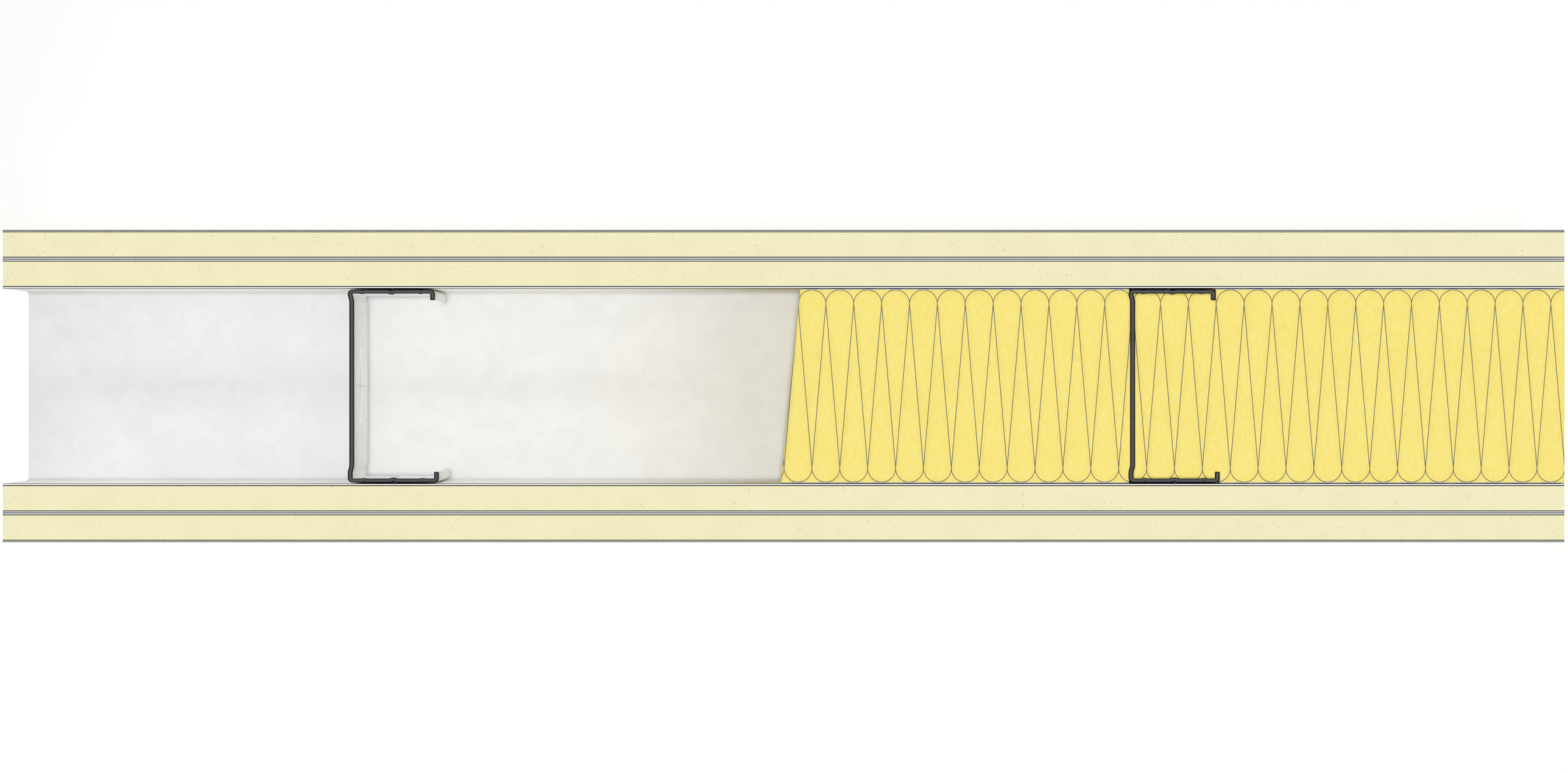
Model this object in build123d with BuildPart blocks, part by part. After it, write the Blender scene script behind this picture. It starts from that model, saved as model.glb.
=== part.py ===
from build123d import *
import os

os.makedirs("parts", exist_ok=True)

# A length of metal-stud partition wall, cut off level at the top so that its section shows.
# Two layers of gypsum board stand on each side of two lipped C-studs in a floor track, and
# mineral wool fills the right half of the cavity, around the right stud.
# X runs along the wall, Y through it from front to back, and Z up, all in millimetres.
# The origin is on the floor, under the middle of the wall.

# Wall
wall_length = 800.0
wall_height = 600.0
cavity_width = 100.0
stud_spacing = 400.0
left_stud_from_end = 177.1

# Gypsum board, a plaster core between two paper liners
board_thickness = 15.0
liner_thickness = 1.0
board_floor_gap = 10.0

# Floor track, a plain U of thin sheet
track_sheet = 0.6
track_flange = 40.0
track_inside_radius = 0.4

# Stud, a lipped C of folded sheet that stands in the track with its web to the left
stud_sheet = 1.8
stud_back_flange = 44.0
stud_front_flange = 46.0
stud_lip = 5.0
stud_inside_radius = 0.4
stud_fit_clearance = 0.1

# Step that sets the web in from the line of the flange corners
web_inset = 0.8
web_step_run = 3.0
back_step_from_corner = 2.8
front_step_from_corner = 5.4

# Grooves pressed into each flange, a deep one in the middle and a shallow one on each side
groove_pitch = 15.0
middle_groove_width = 3.3
middle_groove_depth = 0.5
side_groove_width = 2.3
side_groove_depth = 0.25

# Service hole in the web, for cables
service_hole_length = 100.0
service_hole_width = 38.0
service_hole_height = 300.0

# Mineral wool, with a slanting cut at its left end
wool_clearance = 0.3
wool_cut_back = 8.6
wool_cut_front = -1.3

# Values worked out from the sizes above
wall_left = -wall_length / 2
wall_right = wall_length / 2
inner_face = cavity_width / 2
left_stud_x = wall_left + left_stud_from_end
right_stud_x = left_stud_x + stud_spacing
stud_half_depth = inner_face - track_sheet - stud_fit_clearance
stud_bottom = track_sheet + track_inside_radius
stud_outside_radius = stud_inside_radius + stud_sheet
wool_bottom = track_sheet + wool_clearance
wool_half_width = inner_face - track_sheet - wool_clearance
core_thickness = board_thickness - 2 * liner_thickness


def make_slab(near_face, thickness, side):
    """A flat sheet along the wall, from near_face away from the cavity, on one side of it."""
    with BuildPart() as slab:
        with BuildSketch(Plane.XY.offset(board_floor_gap)):
            with Locations((0, side * (near_face + thickness / 2))):
                Rectangle(wall_length, thickness)
        extrude(amount=wall_height - board_floor_gap)
    return slab.part


# Boards: each one is a back liner, a core and a face liner, from the cavity outwards
for side_name, side in (("front", -1), ("back", 1)):
    for layer_name, layer in (("inner", 0), ("outer", 1)):
        board_face = inner_face + layer * board_thickness
        board_name = f"{side_name}_{layer_name}_board"
        sheets = (
            ("back_paper", board_face, liner_thickness),
            ("core", board_face + liner_thickness, core_thickness),
            ("face_paper", board_face + liner_thickness + core_thickness, liner_thickness),
        )
        for sheet_name, near_face, thickness in sheets:
            slab = make_slab(near_face, thickness, side)
            slab.label = f"{board_name}_{sheet_name}"
            export_step(slab, f"parts/{slab.label}.step")


# Floor track, folded from one sheet, with its flanges up
with BuildPart() as floor_track:
    with BuildSketch(Plane.YZ.offset(wall_left)):
        with BuildLine():
            FilletPolyline(
                (-inner_face, track_flange),
                (-inner_face, 0),
                (inner_face, 0),
                (inner_face, track_flange),
                radius=track_inside_radius + track_sheet,
            )
            offset(amount=track_sheet, side=Side.LEFT)
        make_face()
    extrude(amount=wall_length)

floor_track.part.label = "floor_track"
export_step(floor_track.part, "parts/floor_track.step")


def groove_corners(flange, side):
    """Corners of a flange's three grooves on its outer face, from the web outwards."""
    face = side * stud_half_depth
    grooves = (
        (flange / 2 - groove_pitch, side_groove_width, side_groove_depth),
        (flange / 2, middle_groove_width, middle_groove_depth),
        (flange / 2 + groove_pitch, side_groove_width, side_groove_depth),
    )
    corners = []
    for middle, width, depth in grooves:
        corners.append(((middle - width / 2, face), stud_outside_radius))
        corners.append(((middle, face - side * depth), stud_inside_radius))
        corners.append(((middle + width / 2, face), stud_outside_radius))
    return corners


def half_section(flange, step_from_corner, side):
    """Half of a stud's outer line, from its web to its lip, as corners and bend radii."""
    face = side * stud_half_depth
    step_top = face - side * step_from_corner
    web_end = step_top - side * web_step_run
    return [
        ((web_inset, web_end), stud_inside_radius),
        ((0, step_top), stud_outside_radius),
        ((0, face), stud_outside_radius),
        *groove_corners(flange, side),
        ((flange, face), stud_outside_radius),
        ((flange, face - side * stud_lip), None),
    ]


# The stud's outer line runs from the back lip round the web to the front lip
back_half = half_section(stud_back_flange, back_step_from_corner, 1)
front_half = half_section(stud_front_flange, front_step_from_corner, -1)
stud_line = back_half[::-1] + front_half

# Studs: the same section twice, one stud spacing apart
for stud_name, stud_x in (("stud_left", left_stud_x), ("stud_right", right_stud_x)):
    with BuildPart() as stud:
        with BuildSketch(Plane((stud_x, 0, stud_bottom))):
            with BuildLine():
                FilletPolyline(
                    *[corner for corner, radius in stud_line],
                    radius=[radius for corner, radius in stud_line[1:-1]],
                )
                offset(amount=stud_sheet, side=Side.LEFT)
            make_face()
        extrude(amount=wall_height - stud_bottom)
        with BuildSketch(Plane.YZ.offset(stud_x)):
            with Locations((0, service_hole_height)):
                SlotOverall(service_hole_length, service_hole_width, rotation=90)
        extrude(amount=stud_front_flange, mode=Mode.SUBTRACT)
    stud.part.label = stud_name
    export_step(stud.part, f"parts/{stud_name}.step")


# Left batt, from the slanting cut to the right stud's web
with BuildPart() as wool_batt_left:
    with BuildSketch(Plane.XY.offset(wool_bottom)):
        with BuildLine():
            Polyline(
                (wool_cut_back, wool_half_width),
                (wool_cut_front, -wool_half_width),
                (right_stud_x - wool_clearance, -wool_half_width),
                (right_stud_x - wool_clearance, wool_half_width),
                close=True,
            )
        make_face()
    extrude(amount=wall_height - wool_bottom)

wool_batt_left.part.label = "wool_batt_left"
export_step(wool_batt_left.part, "parts/wool_batt_left.step")


# Right batt, pushed into the right stud, past its lips and on to the wall's end
web_inner_face = right_stud_x + web_inset + stud_sheet + wool_clearance
throat_half_width = stud_half_depth - stud_lip - wool_clearance
pocket_half_width = stud_half_depth - stud_sheet - middle_groove_depth - wool_clearance

with BuildPart() as wool_batt_right:
    with BuildSketch(Plane.XY.offset(wool_bottom)):
        with Locations((web_inner_face, 0)):
            Rectangle(
                wall_right - web_inner_face,
                2 * throat_half_width,
                align=(Align.MIN, Align.CENTER),
            )
        for side, flange, align_y in (
            (1, stud_back_flange, Align.MIN),
            (-1, stud_front_flange, Align.MAX),
        ):
            lip_inner_face = right_stud_x + flange - stud_sheet - wool_clearance
            lip_outer_face = right_stud_x + flange + wool_clearance
            with Locations((web_inner_face, 0)):
                Rectangle(
                    lip_inner_face - web_inner_face,
                    pocket_half_width,
                    align=(Align.MIN, align_y),
                )
            with Locations((lip_outer_face, 0)):
                Rectangle(
                    wall_right - lip_outer_face,
                    wool_half_width,
                    align=(Align.MIN, align_y),
                )
    extrude(amount=wall_height - wool_bottom)

wool_batt_right.part.label = "wool_batt_right"
export_step(wool_batt_right.part, "parts/wool_batt_right.step")
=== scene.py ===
import math
import random

import bmesh
import bpy
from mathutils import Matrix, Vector, geometry, noise


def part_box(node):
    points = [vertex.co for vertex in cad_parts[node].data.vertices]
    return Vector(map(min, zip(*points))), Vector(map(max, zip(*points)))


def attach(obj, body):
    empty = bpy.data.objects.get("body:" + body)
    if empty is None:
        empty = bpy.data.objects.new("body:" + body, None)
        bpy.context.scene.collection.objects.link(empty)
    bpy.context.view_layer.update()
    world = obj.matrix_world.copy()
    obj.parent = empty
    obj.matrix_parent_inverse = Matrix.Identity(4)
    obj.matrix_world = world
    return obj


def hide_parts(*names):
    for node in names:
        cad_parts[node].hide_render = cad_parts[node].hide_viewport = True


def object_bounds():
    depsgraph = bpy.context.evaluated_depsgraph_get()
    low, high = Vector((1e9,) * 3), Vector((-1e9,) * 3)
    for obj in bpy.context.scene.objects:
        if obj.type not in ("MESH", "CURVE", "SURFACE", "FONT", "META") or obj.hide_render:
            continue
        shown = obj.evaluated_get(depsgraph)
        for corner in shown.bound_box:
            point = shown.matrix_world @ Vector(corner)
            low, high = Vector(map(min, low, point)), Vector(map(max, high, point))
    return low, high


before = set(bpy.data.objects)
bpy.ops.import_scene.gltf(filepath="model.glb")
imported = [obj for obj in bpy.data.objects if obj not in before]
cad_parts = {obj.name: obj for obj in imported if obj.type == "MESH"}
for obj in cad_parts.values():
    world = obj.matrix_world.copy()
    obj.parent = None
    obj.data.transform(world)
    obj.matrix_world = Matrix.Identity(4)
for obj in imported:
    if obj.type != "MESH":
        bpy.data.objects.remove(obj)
cad_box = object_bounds()

# Sizes, in metres, read from the frame where a node gives them
MM = 0.001
wall_low, wall_high = cad_box
wall_top = wall_high.z
core_low, core_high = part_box("back_inner_board_core")
liner_low, liner_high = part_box("back_inner_board_back_paper")
stud_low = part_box("stud_left")[0]
right_stud_low, right_stud_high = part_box("stud_right")
inner_face = liner_low.y
liner = liner_high.y - liner_low.y
board = liner + (core_high.y - core_low.y) + liner

# The photograph's frame, which looks straight down on the wall's cut top
PHOTO_SIZE = (2576, 1270)
PHOTO_PX_PER_MM = 3.207
PHOTO_WALL_CENTRE = (1287.3, 634.2)
CAMERA_DISTANCE = 17.5

# The wool's loops, as long tongues that point up and down by turns
loop_pitch = (inner_face * 2) / 7
loop_radius = loop_pitch / 2
loop_end = 49.25 * MM
loop_cusp = loop_end - loop_radius
first_upper_cusp = 21.67 * MM
# Half the width of the painted shade along each crease between the tongues
crease_shade_half_width = 0.23 * MM

rng = random.Random(7)


# Camera
def make_camera():
    """A long lens from far above, so that the wall's sides hardly show, as in a section."""
    scene = bpy.context.scene
    data = bpy.data.cameras.new("camera")
    camera = bpy.data.objects.new("camera", data)
    scene.collection.objects.link(camera)
    frame_width = PHOTO_SIZE[0] / PHOTO_PX_PER_MM * MM
    data.lens = data.sensor_width * CAMERA_DISTANCE / frame_width
    right_of_wall = (PHOTO_SIZE[0] / 2 - PHOTO_WALL_CENTRE[0]) / PHOTO_PX_PER_MM * MM
    below_wall = (PHOTO_SIZE[1] / 2 - PHOTO_WALL_CENTRE[1]) / PHOTO_PX_PER_MM * MM
    camera.location = (right_of_wall, -below_wall, wall_top + CAMERA_DISTANCE)
    data.clip_start = 0.1
    data.clip_end = 100
    scene.camera = camera


make_camera()


# Small helpers for shader nodes
class Nodes:
    """Adds nodes to one material and links them by short calls."""

    def __init__(self, name):
        self.material = bpy.data.materials.new(name)
        self.material.use_nodes = True
        self.tree = self.material.node_tree
        self.shader = self.tree.nodes["Principled BSDF"]
        self.place = self.add("ShaderNodeNewGeometry").outputs["Position"]
        self.normal = self.add("ShaderNodeNewGeometry").outputs["True Normal"]

    def add(self, kind, **settings):
        node = self.tree.nodes.new(kind)
        for key, value in settings.items():
            setattr(node, key, value)
        return node

    def link(self, value, socket):
        if isinstance(value, bpy.types.NodeSocket):
            self.tree.links.new(value, socket)
        else:
            socket.default_value = value

    def math(self, operation, *values, clamp=False):
        node = self.add("ShaderNodeMath", operation=operation, use_clamp=clamp)
        for value, socket in zip(values, node.inputs):
            self.link(value, socket)
        return node.outputs[0]

    def split(self, vector):
        node = self.add("ShaderNodeSeparateXYZ")
        self.link(vector, node.inputs[0])
        return node.outputs[0], node.outputs[1], node.outputs[2]

    def stretch(self, scale):
        node = self.add("ShaderNodeMapping")
        self.link(self.place, node.inputs["Vector"])
        self.link(scale, node.inputs["Scale"])
        return node.outputs[0]

    def noise(self, scale, detail=4.0, rough=0.55, vector=None):
        node = self.add("ShaderNodeTexNoise")
        self.link(vector or self.place, node.inputs["Vector"])
        self.link(scale, node.inputs["Scale"])
        self.link(detail, node.inputs["Detail"])
        self.link(rough, node.inputs["Roughness"])
        return node.outputs["Fac"]

    def cells(self, scale):
        node = self.add("ShaderNodeTexVoronoi")
        self.link(self.place, node.inputs["Vector"])
        self.link(scale, node.inputs["Scale"])
        return node

    def ramp(self, value, low, high, start=0.0, end=1.0):
        """Maps low..high smoothly to start..end, and holds the ends outside."""
        node = self.add("ShaderNodeMapRange", clamp=True, interpolation_type="SMOOTHSTEP")
        for item, socket in zip((value, low, high, start, end), node.inputs):
            self.link(item, socket)
        return node.outputs[0]

    def blend(self, share, first, second):
        node = self.add("ShaderNodeMix", data_type="RGBA")
        colours = [socket for socket in node.inputs if socket.type == "RGBA"]
        self.link(share, node.inputs[0])
        self.link(first, colours[0])
        self.link(second, colours[1])
        return [socket for socket in node.outputs if socket.type == "RGBA"][0]

    def bump(self, height, depth):
        node = self.add("ShaderNodeBump")
        self.link(1.0, node.inputs["Strength"])
        self.link(depth, node.inputs["Distance"])
        self.link(height, node.inputs["Height"])
        self.link(node.outputs[0], self.shader.inputs["Normal"])

    def finish(self, colour, roughness, metallic=0.0, specular=0.3):
        self.link(colour, self.shader.inputs["Base Color"])
        self.link(roughness, self.shader.inputs["Roughness"])
        self.link(metallic, self.shader.inputs["Metallic"])
        self.link(specular, self.shader.inputs["Specular IOR Level"])
        return self.material


def srgb(red, green, blue):
    """A colour given as screen values, 0 to 255, as linear light."""
    def linear(value):
        share = value / 255
        if share <= 0.04045:
            return share / 12.92
        return ((share + 0.055) / 1.055) ** 2.4
    return (linear(red), linear(green), linear(blue), 1.0)


# Materials
# How far from its middle a board's line is full dark, and where it has faded out
LINE_FULL = 0.17 * MM
LINE_GONE = 0.37 * MM

# How far inside the wall's face its outermost line begins, and where it is full dark
OUTERMOST_BEGINS = 0.52 * MM
OUTERMOST_FULL = 0.36 * MM


def board_lines(nodes):
    """Dark glue and saw lines on a board's cut faces, at both faces of each liner."""
    across = nodes.math("ABSOLUTE", nodes.split(nodes.place)[1])
    depth = nodes.math("SUBTRACT", across, inner_face)
    from_board_face = nodes.math("PINGPONG", depth, board / 2)
    from_liner = nodes.math("ABSOLUTE", nodes.math("SUBTRACT", from_board_face, liner))
    distance = nodes.math("MINIMUM", from_board_face, from_liner)
    line = nodes.ramp(distance, LINE_FULL, LINE_GONE, 1.0, 0.0)
    outermost = nodes.ramp(across, wall_high.y - OUTERMOST_BEGINS, wall_high.y - OUTERMOST_FULL)
    line = nodes.math("MAXIMUM", line, outermost)
    facing = nodes.math("ABSOLUTE", nodes.split(nodes.normal)[1])
    on_cut = nodes.ramp(facing, 0.4, 0.6, 1.0, 0.0)
    return nodes.math("MULTIPLY", line, on_cut), on_cut


def gypsum_material():
    nodes = Nodes("gypsum_core")
    cloud = nodes.noise(60.0, 5.0)
    grain = nodes.noise(900.0, 3.0, 0.7)
    pores = nodes.cells(620.0).outputs["Distance"]
    pore = nodes.ramp(pores, 0.1, 0.26, 1.0, 0.0)
    pore_patch = nodes.ramp(nodes.noise(240.0, 2.0), 0.5, 0.66)
    pore = nodes.math("MULTIPLY", pore, pore_patch)
    colour = nodes.blend(nodes.ramp(cloud, 0.3, 0.7), srgb(240, 234, 192), srgb(244, 238, 198))
    colour = nodes.blend(nodes.ramp(grain, 0.35, 0.75, 0.0, 0.2), colour, srgb(224, 215, 170))
    # Painted shade: the pores are coloured darker for the shade in their small hollows, and the bump
    # below also sinks them
    colour = nodes.blend(nodes.math("MULTIPLY", pore, 0.5), colour, srgb(188, 177, 132))
    line = board_lines(nodes)[0]
    colour = nodes.blend(line, colour, srgb(46, 44, 40))
    height = nodes.math("SUBTRACT", nodes.math("MULTIPLY", grain, 0.5), pore)
    nodes.bump(height, 0.12 * MM)
    return nodes.finish(colour, nodes.ramp(grain, 0.2, 0.8, 0.82, 0.97), specular=0.15)


def paper_material(name, face, fleck, edge):
    """Liner paper: fine fibres on its face, plies and dark lines on its cut edge."""
    nodes = Nodes(name)
    along = nodes.stretch((1.0, 1.0, 0.22))
    fibres = nodes.noise(2400.0, 3.0, 0.7, along)
    mottle = nodes.noise(70.0, 4.0)
    flecks = nodes.ramp(nodes.cells(420.0).outputs["Distance"], 0.06, 0.14, 1.0, 0.0)
    fleck_patch = nodes.ramp(nodes.noise(150.0, 2.0), 0.56, 0.7)
    colour = nodes.blend(nodes.ramp(fibres, 0.3, 0.7, 0.0, 0.5), face, fleck)
    colour = nodes.blend(nodes.ramp(mottle, 0.35, 0.7, 0.0, 0.2), colour, fleck)
    fleck_share = nodes.math("MULTIPLY", flecks, nodes.math("MULTIPLY", fleck_patch, 0.5))
    colour = nodes.blend(fleck_share, colour, srgb(150, 138, 118))
    line, on_cut = board_lines(nodes)
    colour = nodes.blend(on_cut, colour, edge)
    colour = nodes.blend(line, colour, srgb(38, 38, 38))
    height = nodes.math("ADD", nodes.math("MULTIPLY", fibres, 0.5), nodes.math("MULTIPLY", mottle, 0.6))
    nodes.bump(height, 0.07 * MM)
    return nodes.finish(colour, nodes.ramp(fibres, 0.2, 0.8, 0.68, 0.86), specular=0.25)


def zinc_material(name, bright, dull, cut, cut_share, metallic, roughness, relief):
    """Galvanised sheet with a faint spangle and roll marks, and a dark sawn edge on top."""
    nodes = Nodes(name)
    spangle = nodes.cells(130.0)
    tint = nodes.split(spangle.outputs["Color"])[0]
    rolled = nodes.noise(500.0, 2.0, 0.5, nodes.stretch((1.0, 1.0, 0.04)))
    cloud = nodes.noise(30.0, 4.0)
    share = nodes.math("ADD", nodes.math("MULTIPLY", tint, 0.45), nodes.math("MULTIPLY", cloud, 0.55))
    colour = nodes.blend(share, bright, dull)
    colour = nodes.blend(nodes.ramp(rolled, 0.4, 0.7, 0.0, 0.25), colour, dull)
    up = nodes.ramp(nodes.split(nodes.normal)[2], 0.7, 0.9)
    top = nodes.ramp(nodes.split(nodes.place)[2], wall_top - 0.8 * MM, wall_top - 0.4 * MM)
    on_cut = nodes.math("MULTIPLY", nodes.math("MULTIPLY", up, top), cut_share)
    colour = nodes.blend(on_cut, colour, cut)
    nodes.bump(nodes.math("ADD", nodes.math("MULTIPLY", tint, 0.3), rolled), relief)
    dullness = nodes.ramp(share, 0.2, 0.8, roughness, roughness + 0.08)
    dullness = nodes.math("ADD", dullness, nodes.math("MULTIPLY", on_cut, 0.35), clamp=True)
    return nodes.finish(colour, dullness, metallic, 0.3)


def loop_distance(nodes):
    """How far a point lies from the nearest crease between the wool's tongues."""
    x, y, _ = nodes.split(nodes.place)
    u = nodes.math("PINGPONG", nodes.math("SUBTRACT", x, first_upper_cusp), loop_radius)
    slope = math.hypot(2 * loop_cusp, loop_radius)
    run = nodes.math("MULTIPLY", u, 2 * loop_cusp / slope)
    fall = nodes.math("MULTIPLY", nodes.math("SUBTRACT", y, loop_cusp), loop_radius / slope)
    straight = nodes.math("ABSOLUTE", nodes.math("ADD", run, fall))

    def arc(centre_u, centre_y):
        across = nodes.math("SUBTRACT", u, centre_u)
        along = nodes.math("SUBTRACT", y, centre_y)
        square = nodes.math("ADD", nodes.math("MULTIPLY", across, across),
                            nodes.math("MULTIPLY", along, along))
        return nodes.math("ABSOLUTE", nodes.math("SUBTRACT", nodes.math("SQRT", square), loop_radius))

    above = nodes.math("GREATER_THAN", y, loop_cusp)
    below = nodes.math("LESS_THAN", y, -loop_cusp)
    middle = nodes.math("SUBTRACT", 1.0, nodes.math("ADD", above, below))
    parts = (
        nodes.math("MULTIPLY", above, arc(loop_radius, loop_cusp)),
        nodes.math("MULTIPLY", below, arc(0.0, -loop_cusp)),
        nodes.math("MULTIPLY", middle, straight),
    )
    return nodes.math("ADD", nodes.math("ADD", parts[0], parts[1]), parts[2])


def wool_material():
    nodes = Nodes("mineral_wool")
    fibres = nodes.noise(700.0, 6.0, 0.75, nodes.stretch((1.0, 0.35, 0.5)))
    strata = nodes.noise(420.0, 6.0, 0.7, nodes.stretch((1.0, 1.0, 0.1)))
    strands = nodes.noise(340.0, 3.0, 0.6, nodes.stretch((1.0, 1.0, 0.22)))
    from_strand = nodes.math("ABSOLUTE", nodes.math("SUBTRACT", strands, 0.5))
    strand = nodes.ramp(from_strand, 0.0, 0.03, 1.0, 0.0)
    cloud = nodes.noise(45.0, 4.0)
    colour = nodes.blend(nodes.ramp(fibres, 0.3, 0.72), srgb(249, 229, 121), srgb(254, 239, 144))
    colour = nodes.blend(nodes.ramp(cloud, 0.35, 0.7, 0.0, 0.25), colour, srgb(245, 224, 114))
    up = nodes.ramp(nodes.split(nodes.normal)[2], 0.5, 0.8)
    side = nodes.math("SUBTRACT", 1.0, up)
    seam = nodes.math("MULTIPLY", side, nodes.ramp(strata, 0.4, 0.7, 0.0, 0.5))
    colour = nodes.blend(seam, colour, srgb(222, 194, 88))
    strand_share = nodes.math("MULTIPLY", nodes.math("MULTIPLY", strand, side), 0.5)
    colour = nodes.blend(strand_share, colour, srgb(255, 246, 172))
    # Painted shade: a dark grey line along each crease between the tongues, on the wool's top only
    crease = nodes.ramp(loop_distance(nodes), crease_shade_half_width * 0.6, crease_shade_half_width * 1.4, 1.0, 0.0)
    crease = nodes.math("MULTIPLY", crease, up)
    colour = nodes.blend(crease, colour, srgb(126, 126, 112))
    across = nodes.math("ABSOLUTE", nodes.split(nodes.place)[1])
    skin = nodes.ramp(across, loop_end - 0.1 * MM, loop_end + 0.1 * MM)
    colour = nodes.blend(nodes.math("MULTIPLY", skin, up), colour, srgb(186, 188, 194))
    height = nodes.math("ADD", fibres, nodes.math("MULTIPLY", strata, side))
    nodes.bump(height, 0.35 * MM)
    return nodes.finish(colour, nodes.ramp(fibres, 0.2, 0.8, 0.85, 0.98), specular=0.12)


def dark_metal_material(name, dark, light, scale, roughness, metallic):
    """Blackened steel with a fine uneven grain."""
    nodes = Nodes(name)
    grain = nodes.noise(scale, 4.0)
    colour = nodes.blend(nodes.ramp(grain, 0.3, 0.7), dark, light)
    nodes.bump(grain, 0.04 * MM)
    return nodes.finish(colour, nodes.ramp(grain, 0.2, 0.8, roughness, roughness + 0.12), metallic, 0.35)


def dress(node_name, material):
    """Gives a CAD node its material, on every slot that it has."""
    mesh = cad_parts[node_name].data
    if not mesh.materials:
        mesh.materials.append(material)
    for index in range(len(mesh.materials)):
        mesh.materials[index] = material


gypsum = gypsum_material()
face_paper = paper_material("face_paper", srgb(246, 244, 236), srgb(233, 229, 216), srgb(250, 250, 250))
back_paper = paper_material("back_paper", srgb(236, 235, 232), srgb(222, 221, 217), srgb(250, 250, 250))
zinc = zinc_material(
    "stud_steel", srgb(242, 243, 245), srgb(228, 230, 233), srgb(86, 86, 86),
    cut_share=1.0, metallic=0.15, roughness=0.55, relief=0.01 * MM,
)
track_zinc = zinc_material(
    "track_steel", srgb(219, 219, 219), srgb(213, 213, 213), srgb(240, 240, 240),
    cut_share=0.0, metallic=0.1, roughness=0.8, relief=0.003 * MM,
)
wool = wool_material()
burr_steel = dark_metal_material("burr_steel", srgb(8, 8, 8), srgb(22, 22, 22), 900.0, 0.6, 0.2)
phosphate = dark_metal_material("screw_black", srgb(26, 26, 28), srgb(52, 52, 54), 1500.0, 0.45, 0.5)

for side_name in ("front", "back"):
    for layer_name in ("inner", "outer"):
        board_name = f"{side_name}_{layer_name}_board"
        dress(f"{board_name}_core", gypsum)
        dress(f"{board_name}_face_paper", face_paper)
        dress(f"{board_name}_back_paper", back_paper)
dress("stud_left", zinc)
dress("stud_right", zinc)
dress("floor_track", track_zinc)


# Meshes
def new_piece(name, bm, material, smooth=False):
    """Turns a bmesh into an object that rides on the wall."""
    mesh = bpy.data.meshes.new(name)
    bmesh.ops.recalc_face_normals(bm, faces=bm.faces)
    for face in bm.faces:
        face.smooth = smooth
    bm.to_mesh(mesh)
    bm.free()
    mesh.materials.append(material)
    piece = bpy.data.objects.new(name, mesh)
    bpy.context.scene.collection.objects.link(piece)
    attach(piece, "root")
    return piece


# Wool
def crease_distance(x, y):
    """The same distance as in the wool's material, for the mesh."""
    u = abs((x - first_upper_cusp + loop_radius) % loop_pitch - loop_radius)
    if y > loop_cusp:
        return abs(math.hypot(u - loop_radius, y - loop_cusp) - loop_radius)
    if y < -loop_cusp:
        return abs(math.hypot(u, y + loop_cusp) - loop_radius)
    slope = math.hypot(2 * loop_cusp, loop_radius)
    return abs(u * 2 * loop_cusp + (y - loop_cusp) * loop_radius) / slope


# How far from a crease a tongue reaches its full height, how far the crease is pressed in
# beside its middle, and the sizes of the tufts and waves over them
CROWN_RUN = 4.5 * MM
CREASE_RUN = 0.8 * MM
TUFT_SIZE = 1.3 * MM
WAVE_SIZE = 9 * MM


def wool_height(x, y):
    """Height of the wool's cut top: crowned tongues, pressed in along their creases."""
    distance = crease_distance(x, y)
    crown = 0.7 * MM * (1.0 - (1.0 - min(distance / CROWN_RUN, 1.0)) ** 2)
    crease = 0.5 * MM * math.exp(-((distance / CREASE_RUN) ** 2))
    tuft = 0.12 * MM * noise.noise(Vector((x, y, 0)) / TUFT_SIZE)
    wave = 0.15 * MM * noise.noise(Vector((x, y, 5)) / WAVE_SIZE)
    return wall_top - 1.0 * MM + crown - crease + tuft + wave


def steps(low, high, size, stops=()):
    """Values from low to high about one size apart, with the stops among them."""
    marks = [low, *sorted(stops), high]
    values = []
    for start, end in zip(marks, marks[1:]):
        count = max(1, round((end - start) / size))
        values += [start + (end - start) * i / count for i in range(count)]
    return values + [high]


# The step of the grid over the batts' tops, and of the rows down their open ends
GRID = 0.75 * MM
FACE_ROW = 3.0 * MM

# An open end is set back to leave room for its fibres, and its outermost rim stays straight
FACE_SINK = 0.5 * MM
STILL_RIM = 1.5 * MM

# An edge longer than this runs down the whole of an open end
TALL_EDGE = 100 * MM

# How near two places are to count as the same, and as lying on a batt's rim
LEVEL_TOLERANCE = 0.001 * MM
RIM_TOLERANCE = 0.01 * MM

# Above the track the batts fill the cavity, but for a small gap, and in it they keep to their
# nodes. The fibres end and the batts narrow a little above it.
track_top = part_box("floor_track")[1].z
rough_until = track_top + 4 * MM
wide_until = track_top + 1 * MM
wool_side = inner_face - 0.25 * MM
side_in_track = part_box("wool_batt_left")[1].y
wool_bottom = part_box("wool_batt_left")[0].z


def drop(bm, edges, level):
    """Runs an outline straight down to a level, and gives the new outline and walls."""
    made = bmesh.ops.extrude_edge_only(bm, edges=edges)["geom"]
    for item in made:
        if isinstance(item, bmesh.types.BMVert):
            item.co.z = level
    walls = [item for item in made if isinstance(item, bmesh.types.BMFace)]
    outline = [item for item in made if isinstance(item, bmesh.types.BMEdge)
               and all(abs(v.co.z - level) < LEVEL_TOLERANCE for v in item.verts)]
    return outline, walls


def roughen(bm, faces):
    """Cuts a batt's open end into rows and pushes its points in and out, as loose fibres.

    Both waves of the push are longer up the wall than across it.
    """
    uprights = dict.fromkeys(edge for face in faces for edge in face.edges
                             if abs(edge.verts[0].co.z - edge.verts[1].co.z) > TALL_EDGE)
    count = round((wall_top - track_top) / FACE_ROW)
    made = bmesh.ops.subdivide_edges(bm, edges=list(uprights), cuts=count, use_grid_fill=True)
    for item in made["geom_inner"]:
        if isinstance(item, bmesh.types.BMVert) and abs(item.co.y) < wool_side - STILL_RIM:
            coarse = Vector((item.co.y / (2.2 * MM), item.co.z / (14 * MM), 3.0))
            fine = Vector((item.co.y / (0.9 * MM), item.co.z / (3.5 * MM), 9.0))
            push = 0.6 * MM * noise.noise(coarse) + 0.3 * MM * noise.noise(fine)
            outward = 1 if item.co.x > right_stud_low.x else -1
            item.co.x += (push - FACE_SINK) * outward


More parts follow.
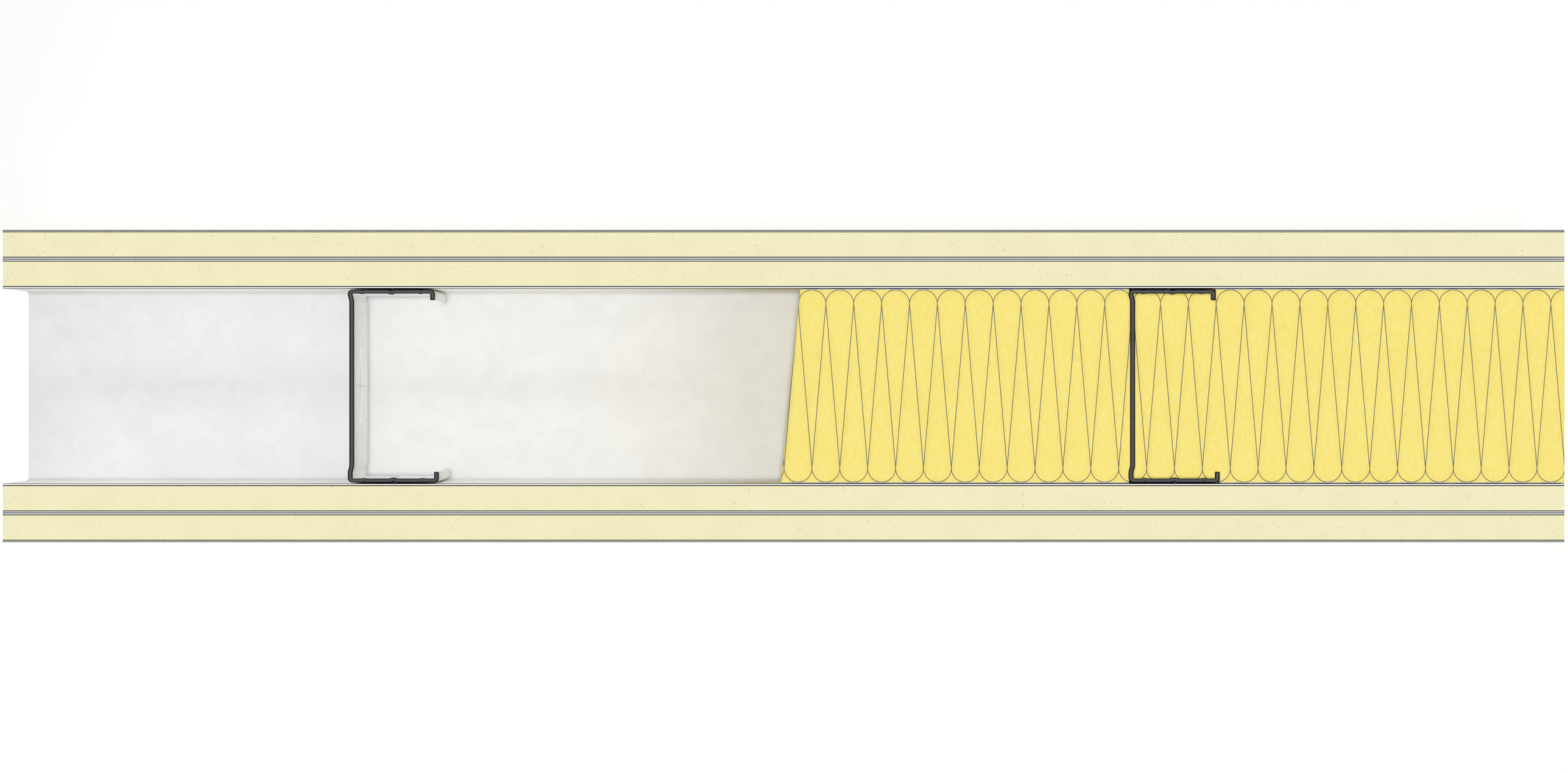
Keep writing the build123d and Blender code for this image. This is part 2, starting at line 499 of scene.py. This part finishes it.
def build_batt(name, node, columns, rows, place, inside, end_face):
    """One batt: a relief top over a grid, straight walls, and rough fibres on its open end.

    place(x, y) moves a grid point, inside(x, y) says whether a cell is wool, and
    end_face(x, y) says whether a wall at that place can be seen and gets the fibres.
    """
    bm = bmesh.new()
    grid = {}

    def vertex(i, j):
        if (i, j) not in grid:
            x, y = place(columns[i], rows[j])
            grid[i, j] = bm.verts.new((x, y, wool_height(x, y)))
        return grid[i, j]

    for i in range(len(columns) - 1):
        for j in range(len(rows) - 1):
            middle = ((columns[i] + columns[i + 1]) / 2, (rows[j] + rows[j + 1]) / 2)
            if inside(*middle):
                bm.faces.new((vertex(i, j), vertex(i + 1, j), vertex(i + 1, j + 1), vertex(i, j + 1)))

    outline = [edge for edge in bm.edges if edge.is_boundary]
    outline, upper_walls = drop(bm, outline, rough_until)
    roughen(bm, [face for face in upper_walls if end_face(*face.calc_center_median().xy)])
    outline = drop(bm, outline, wide_until)[0]
    for edge in outline:
        for v in edge.verts:
            v.co.y = max(-side_in_track, min(side_in_track, v.co.y))
    outline = drop(bm, outline, wool_bottom)[0]
    bmesh.ops.contextual_create(bm, geom=outline)
    piece = new_piece(name, bm, wool, smooth=True)
    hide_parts(node)


# The studs' section, which the frame gives only as a box
sheet = 1.8 * MM
lip = 5.0 * MM
back_flange = 44 * MM
front_flange = 46 * MM
web_inset = 0.8 * MM
web_step_run = 3.0 * MM
back_step = right_stud_high.y - 2.8 * MM
front_step = right_stud_high.y - 5.4 * MM

# Each groove as its place from the flange's middle, its width and its depth
GROOVES = ((-15 * MM, 2.3 * MM, 0.25 * MM), (0, 3.3 * MM, 0.5 * MM), (15 * MM, 2.3 * MM, 0.25 * MM))

# The left batt runs from a slanting cut to the right stud. The cut starts at the node's front
# left corner, and lies further right at the back by cut_shift.
left_low, left_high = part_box("wool_batt_left")
cut_shift = 9.9 * MM
press_gap = 0.08 * MM


def inset_at(y):
    """How far the right stud's web stands in from the line of its corners."""
    step = back_step if y > 0 else front_step
    return web_inset * min(max((step - abs(y)) / web_step_run, 0.0), 1.0)


def left_place(x, y):
    """Runs the grid from the slanting cut to the stud's web, and into the web's step."""
    share = (left_high.x - x) / (left_high.x - left_low.x)
    start = left_low.x + cut_shift * (y / wool_side + 1) / 2
    end = right_stud_low.x + inset_at(y) - press_gap
    return end - share * (end - start), y


build_batt(
    "wool_batt_left_loops",
    "wool_batt_left",
    steps(left_low.x, left_high.x, GRID),
    steps(-wool_side, wool_side, GRID, (-loop_end, loop_end)),
    left_place,
    lambda x, y: True,
    lambda x, y: x < left_low.x + cut_shift + 1 * MM and abs(y) < wool_side - RIM_TOLERANCE,
)

# The right batt starts inside the right stud and goes out between its lips. Its node has a
# gap all round, and the wool bridges a groove from a little outside it.
right_low, right_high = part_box("wool_batt_right")
gap = 0.3 * MM
groove_bridge = 0.6 * MM
deepest_groove = max(depth for _, _, depth in GROOVES)
back_flange_end = right_stud_low.x + back_flange
front_flange_end = right_stud_low.x + front_flange
flange_inside = right_stud_high.y - sheet
pocket = flange_inside - deepest_groove - gap
throat = right_stud_high.y - lip - gap


def in_right_batt(x, y):
    flange_end = back_flange_end if y > 0 else front_flange_end
    if x < flange_end - sheet - gap:
        return abs(y) < pocket
    if x < flange_end + gap:
        return abs(y) < throat
    return True


def right_place(x, y):
    """Presses the batt's rim against the stud's web and flanges, and round the grooves."""
    flange = back_flange if y > 0 else front_flange
    if x < right_low.x + LEVEL_TOLERANCE:
        x = right_stud_low.x + sheet + inset_at(y) + press_gap
    if abs(abs(y) - pocket) < LEVEL_TOLERANCE and x < right_stud_low.x + flange - sheet:
        bulge = 0.0
        for offset, width, depth in GROOVES:
            off = abs(x - right_stud_low.x - flange / 2 - offset)
            bulge = max(bulge, depth * (1 - off / (width / 2 + groove_bridge)))
        y = math.copysign(flange_inside - press_gap - bulge, y)
    return x, y


build_batt(
    "wool_batt_right_loops",
    "wool_batt_right",
    steps(right_low.x, right_high.x, GRID, (
        back_flange_end - sheet - gap, back_flange_end + gap,
        front_flange_end - sheet - gap, front_flange_end + gap,
    )),
    steps(-wool_side, wool_side, GRID, (-loop_end, -pocket, -throat, throat, pocket, loop_end)),
    right_place,
    in_right_batt,
    lambda x, y: x > right_high.x - RIM_TOLERANCE,
)


# Studs: the burr that the saw leaves round the cut sheet
def stud_outline(node_name):
    """The closed outline of a stud's cut top, as a list of points in order."""
    bm = bmesh.new()
    bm.from_mesh(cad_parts[node_name].data)
    bmesh.ops.remove_doubles(bm, verts=bm.verts, dist=1e-6)
    top = {f for f in bm.faces if f.normal.z > 0.9 and f.calc_center_median().z > wall_top - 1e-5}
    rim = [e for e in bm.edges if len([f for f in e.link_faces if f in top]) == 1]
    follow = {}
    for edge in rim:
        a, b = edge.verts
        follow.setdefault(a, []).append(b)
        follow.setdefault(b, []).append(a)
    start = rim[0].verts[0]
    loop = [start]
    previous, current = None, start
    while True:
        onward = [v for v in follow[current] if v is not previous]
        previous, current = current, onward[0]
        if current is start:
            break
        loop.append(current)
    points = [v.co.xy.copy() for v in loop]
    bm.free()
    area = sum(p.cross(q) for p, q in zip(points, points[1:] + points[:1]))
    return points if area > 0 else points[::-1]


def inward(points, index):
    """The direction into the sheet at a corner, long enough to keep the offset even."""
    before = points[index] - points[index - 1]
    after = points[(index + 1) % len(points)] - points[index]
    first = Vector((-before.y, before.x)).normalized()
    second = Vector((-after.y, after.x)).normalized()
    middle = (first + second).normalized()
    return middle / max(0.5, middle.dot(first))


def make_burr(stud_name):
    """A low dark bead along both edges of the sawn sheet, with a raised ragged crest.

    The saw went along the wall, so it threw the burr further out where the sheet lies
    across its way, as at the web and the lips. The profile gives offsets into the sheet and
    heights, in millimetres, and so does thrown.
    """
    points = stud_outline(stud_name)
    profile = ((-0.12, -0.35), (-0.13, 0.05), (0.0, 0.22), (0.17, 0.14), (0.26, 0.0))
    thrown = 0.25
    bm = bmesh.new()
    rings = []
    for index, point in enumerate(points):
        normal = inward(points, index)
        across_saw = abs(normal.normalized().x)
        ragged = 1 + 0.4 * noise.noise(Vector((point.x, point.y, 0)) / (0.8 * MM))
        ring = []
        for offset, height in profile:
            reach = offset - thrown * across_saw if offset < 0 else offset
            spot = point + normal * reach * MM
            lift = height * ragged if height > 0.1 else height
            ring.append(bm.verts.new((spot.x, spot.y, wall_top + lift * MM)))
        rings.append(ring)
    for ring, onward in zip(rings, rings[1:] + rings[:1]):
        for k in range(len(profile)):
            n = (k + 1) % len(profile)
            bm.faces.new((ring[k], ring[n], onward[n], onward[k]))
    new_piece(f"{stud_name}_sawn_burr", bm, burr_steel)


make_burr("stud_left")
make_burr("stud_right")


# Liners: paper fibres that stand up a little along each sawn edge
FRAY_PITCH = 1.6 * MM
FRAY_ROWS = (0.16, 0.32, 0.5, 0.68, 0.84)


def make_frayed_edges():
    """One ragged ribbon on the cut top of every liner, whose crest rises and falls."""
    bm = bmesh.new()
    first, last = FRAY_ROWS[0], FRAY_ROWS[-1]
    for node_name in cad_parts:
        if not node_name.endswith("_paper"):
            continue
        low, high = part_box(node_name)
        previous = None
        for x in steps(low.x, high.x, FRAY_PITCH):
            ring = []
            for row in FRAY_ROWS:
                y = low.y + (high.y - low.y) * row
                crest = math.sin(math.pi * (row - first) / (last - first))
                fray = noise.noise(Vector((x / (2.5 * MM), y / (0.3 * MM), 1)))
                lift = (0.02 + crest * (0.07 + 0.05 * fray)) * MM
                ring.append(bm.verts.new((x, y, wall_top + lift)))
            if previous:
                for k in range(len(FRAY_ROWS) - 1):
                    bm.faces.new((previous[k], ring[k], ring[k + 1], previous[k + 1]))
            previous = ring
    made = bmesh.ops.extrude_face_region(bm, geom=bm.faces[:])["geom"]
    for item in made:
        if isinstance(item, bmesh.types.BMVert):
            item.co.z = wall_top - 0.05 * MM
    new_piece("liner_frayed_edges", bm, face_paper, smooth=True)


make_frayed_edges()


# Screws: countersunk heads in the outer boards, on the studs' flanges
SCREW_PITCH = 250 * MM
HEAD_RADIUS = 4.1 * MM
HEAD_DEPTH = 0.42 * MM
SHANK_RADIUS = 1.75 * MM
PAPER_HOLE = 4.0 * MM
outer_face = wall_high.y
lowest_screw = core_low.z + 50 * MM
highest_screw = wall_top - 20 * MM

# How far a screw may stray from its place, along the wall and up or down
STRAY_ALONG = 1.5
STRAY_UP = 4


def screw_places():
    """Where the screws go, as x, z and the side of the wall, on the middle of each flange."""
    places = []
    for side, flange in ((1, back_flange), (-1, front_flange)):
        for stud_x in (stud_low.x, right_stud_low.x):
            z = lowest_screw
            while z < highest_screw:
                x = stud_x + flange / 2 + rng.uniform(-STRAY_ALONG, STRAY_ALONG) * MM
                places.append((x, z + rng.uniform(-STRAY_UP, STRAY_UP) * MM, side))
                z += SCREW_PITCH
    return places


def add_screw(bm, x, z, side):
    """A bugle head with a cross recess, set just under the paper, and its shank."""
    segments = 32
    turn = rng.uniform(0, math.pi / 2)
    reach = outer_face - (right_stud_high.y - sheet) + 0.6 * MM
    profile = (
        (HEAD_RADIUS, -HEAD_DEPTH), (HEAD_RADIUS, -0.7 * MM), (HEAD_RADIUS * 0.72, -1.8 * MM),
        (HEAD_RADIUS * 0.5, -3.2 * MM), (SHANK_RADIUS, -4.8 * MM), (SHANK_RADIUS, -reach + 2 * MM),
        (0.2 * MM, -reach),
    )

    def point(radius, angle, depth):
        return (x + radius * math.cos(angle), side * (outer_face + depth), z + radius * math.sin(angle))

    def recess_radius(angle):
        """The cross: long along two directions and short between them."""
        lobe = abs(math.cos(2 * (angle - turn)))
        return (0.75 + 1.6 * lobe ** 8) * MM

    angles = [2 * math.pi * i / segments for i in range(segments)]
    rings = [[bm.verts.new(point(r, a, d)) for a in angles] for r, d in profile]
    rim = [bm.verts.new(point(recess_radius(a), a, -HEAD_DEPTH - 0.03 * MM)) for a in angles]
    floor = [bm.verts.new(point(recess_radius(a) * 0.55, a, -0.93 * MM)) for a in angles]
    for first, second in [(rim, rings[0]), (floor, rim), *zip(rings, rings[1:])]:
        for k in range(segments):
            n = (k + 1) % segments
            bm.faces.new((first[k], first[n], second[n], second[k]))
    bm.faces.new(floor)
    bm.faces.new(rings[-1])


def make_face_sheet(name, side, places):
    """The outer board's face paper, dished round each screw and torn open over its head.

    The dish is given as rings, each a radius and a depth in millimetres.
    """
    low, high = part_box(f"{name}_outer_board_face_paper")
    dish = ((4.15, 0.5), (4.45, 0.34), (5.2, 0.24), (6.6, 0.1), (8.5, 0.0))
    segments = 40
    points = [
        Vector((low.x, low.z)), Vector((high.x, low.z)),
        Vector((high.x, high.z)), Vector((low.x, high.z)),
    ]
    depths = [0.0] * 4
    edges = [(0, 1), (1, 2), (2, 3), (3, 0)]
    for x, z, _ in places:
        for radius, depth in dish:
            start = len(points)
            for k in range(segments):
                angle = 2 * math.pi * k / segments
                tear = 1 + 0.03 * noise.noise(Vector((x * 900, angle * 3, radius)))
                points.append(Vector((x + radius * tear * MM * math.cos(angle),
                                      z + radius * tear * MM * math.sin(angle))))
                depths.append(depth * MM)
            edges += [(start + k, start + (k + 1) % segments) for k in range(segments)]
    flat, _, faces, origin, _, _ = geometry.delaunay_2d_cdt(points, edges, [], 0, 1e-7)
    bm = bmesh.new()
    verts = []
    for spot, sources in zip(flat, origin):
        depth = depths[sources[0]] if sources else 0.0
        verts.append(bm.verts.new((spot.x, side * (outer_face - depth), spot.y)))
    for face in faces:
        middle = sum((flat[i] for i in face), Vector((0, 0))) / len(face)
        if all((middle - Vector((x, z))).length > PAPER_HOLE for x, z, _ in places):
            bm.faces.new([verts[i] for i in face])
    for vert in [v for v in bm.verts if not v.link_faces]:
        bm.verts.remove(vert)
    back = bmesh.ops.extrude_face_region(bm, geom=bm.faces[:])["geom"]
    for item in back:
        if isinstance(item, bmesh.types.BMVert):
            item.co.y = side * (outer_face - liner)
    piece = new_piece(f"{name}_face_paper_dished", bm, face_paper)
    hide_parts(f"{name}_outer_board_face_paper")


def make_screws():
    places = screw_places()
    bm = bmesh.new()
    for x, z, side in places:
        add_screw(bm, x, z, side)
    new_piece("drywall_screws", bm, phosphate)
    make_face_sheet("back", 1, [place for place in places if place[2] > 0])
    make_face_sheet("front", -1, [place for place in places if place[2] < 0])


make_screws()


# Stage: floor, sky and lamps
FLOOR_HALF_SIZE = 60


def make_floor():
    """A plain white floor just under the wall, which glows a little to stay white."""
    nodes = Nodes("pale_floor")
    grain = nodes.noise(3.0, 3.0)
    colour = nodes.blend(nodes.ramp(grain, 0.3, 0.7), (0.9, 0.9, 0.9, 1), (0.93, 0.93, 0.93, 1))
    material = nodes.finish(colour, 0.9, specular=0.0)
    nodes.shader.inputs["Emission Color"].default_value = (1, 1, 1, 1)
    nodes.shader.inputs["Emission Strength"].default_value = 0.06
    bm = bmesh.new()
    bmesh.ops.create_grid(bm, x_segments=2, y_segments=2, size=FLOOR_HALF_SIZE)
    mesh = bpy.data.meshes.new("floor")
    bm.to_mesh(mesh)
    bm.free()
    mesh.materials.append(material)
    floor = bpy.data.objects.new("floor", mesh)
    bpy.context.scene.collection.objects.link(floor)
    floor.location.z = wall_low.z - 0.1 * MM


def make_sky(strength):
    """Even light from all round, with a white backdrop behind the floor's far edge."""
    world = bpy.data.worlds.new("studio")
    bpy.context.scene.world = world
    world.use_nodes = True
    tree = world.node_tree
    light = tree.nodes["Background"]
    light.inputs["Color"].default_value = (1, 1, 1, 1)
    light.inputs["Strength"].default_value = strength
    backdrop = tree.nodes.new("ShaderNodeBackground")
    backdrop.inputs["Color"].default_value = (1, 1, 1, 1)
    path = tree.nodes.new("ShaderNodeLightPath")
    mix = tree.nodes.new("ShaderNodeMixShader")
    tree.links.new(path.outputs["Is Camera Ray"], mix.inputs[0])
    tree.links.new(light.outputs[0], mix.inputs[1])
    tree.links.new(backdrop.outputs[0], mix.inputs[2])
    tree.links.new(mix.outputs[0], tree.nodes["World Output"].inputs["Surface"])


def make_sun(name, azimuth, elevation, strength, angle):
    """A far lamp that shines from a compass direction, where azimuth 0 is the front."""
    data = bpy.data.lights.new(name, "SUN")
    data.energy = strength
    data.angle = math.radians(angle)
    lamp = bpy.data.objects.new(name, data)
    bpy.context.scene.collection.objects.link(lamp)
    a, e = math.radians(azimuth), math.radians(elevation)
    back = Vector((math.sin(a) * math.cos(e), -math.cos(a) * math.cos(e), math.sin(e)))
    lamp.rotation_mode = "QUATERNION"
    lamp.rotation_quaternion = back.to_track_quat("Z", "Y")


def make_panel(name, centre, toward, size, energy, spread):
    """A soft panel lamp that isn't seen itself."""
    data = bpy.data.lights.new(name, "AREA")
    data.shape = "RECTANGLE"
    data.size, data.size_y = size
    data.energy = energy
    data.spread = math.radians(spread)
    lamp = bpy.data.objects.new(name, data)
    bpy.context.scene.collection.objects.link(lamp)
    lamp.location = centre
    lamp.rotation_mode = "QUATERNION"
    lamp.rotation_quaternion = (-Vector(toward)).to_track_quat("Z", "Y")
    lamp.visible_camera = False
    lamp.visible_glossy = False


bpy.context.scene.view_settings.view_transform = "Standard"
make_floor()
make_sky(0.22)

# A sun of strength pi, straight above, would light a white floor fully by itself
make_sun("overhead", 0, 90, 0.65 * math.pi, 0.5)
make_sun("key_front", 35, 38, 0.15 * math.pi, 6)
make_sun("key_back", 215, 30, 0.1 * math.pi, 6)

# Fill light inside the empty cavity, from its middle plane, a little to the left of its
# middle, and from beside the wool
empty_middle = (wall_low.x * 0.57, 0, wall_top / 2)
beside_wool = (-12 * MM, 0, wall_top / 2)
fill_height = 560 * MM
cavity_fill_size = (340 * MM, fill_height)
stud_fill_size = (84 * MM, fill_height)
make_panel("cavity_fill_back", empty_middle, (0, 1, 0), cavity_fill_size, 0.21, 180)
make_panel("cavity_fill_front", empty_middle, (0, -1, 0), cavity_fill_size, 0.21, 180)
make_panel("stud_fill", beside_wool, (-1, 0, 0), stud_fill_size, 0.06, 120)
